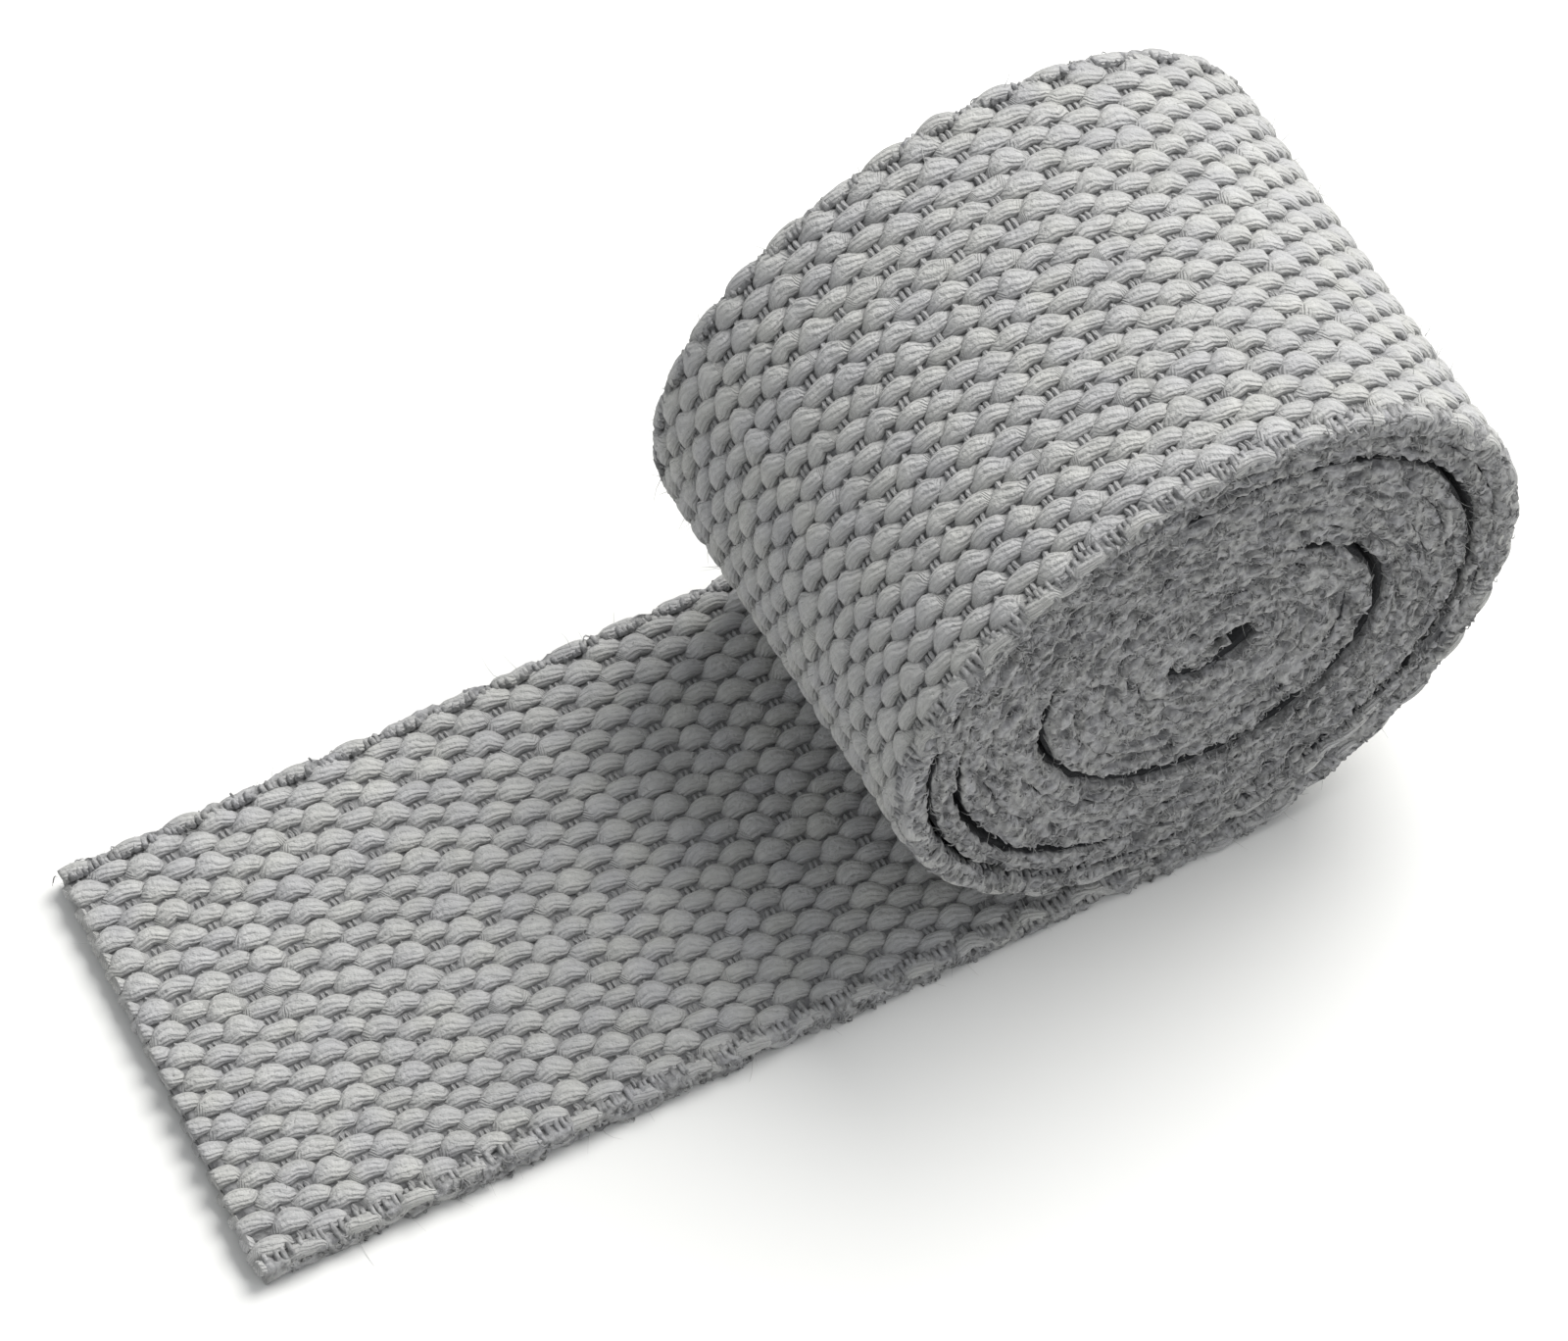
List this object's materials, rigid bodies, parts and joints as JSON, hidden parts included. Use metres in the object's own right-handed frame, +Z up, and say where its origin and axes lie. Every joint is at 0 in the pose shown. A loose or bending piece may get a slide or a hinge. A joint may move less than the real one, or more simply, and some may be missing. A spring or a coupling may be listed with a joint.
{
  "type": "roll of cotton webbing",
  "caption": "Flat band of heavy cotton webbing wound on itself into a slightly oval roll, its loose end lying straight out on the table.",
  "frame": {"origin": "middle of the object's footprint, on the surface it lies on", "axes": "+X along the band, from the cut loose end towards the roll; +Y along the axis of the roll; +Z up"},
  "size_m": [0.1006, 0.0384, 0.0436],
  "materials": {
    "cotton_webbing": "matte, coarse plain weave"
  },
  "bodies": {
    "root": {"webbing": "cotton_webbing"}
  },
  "joints": []
}
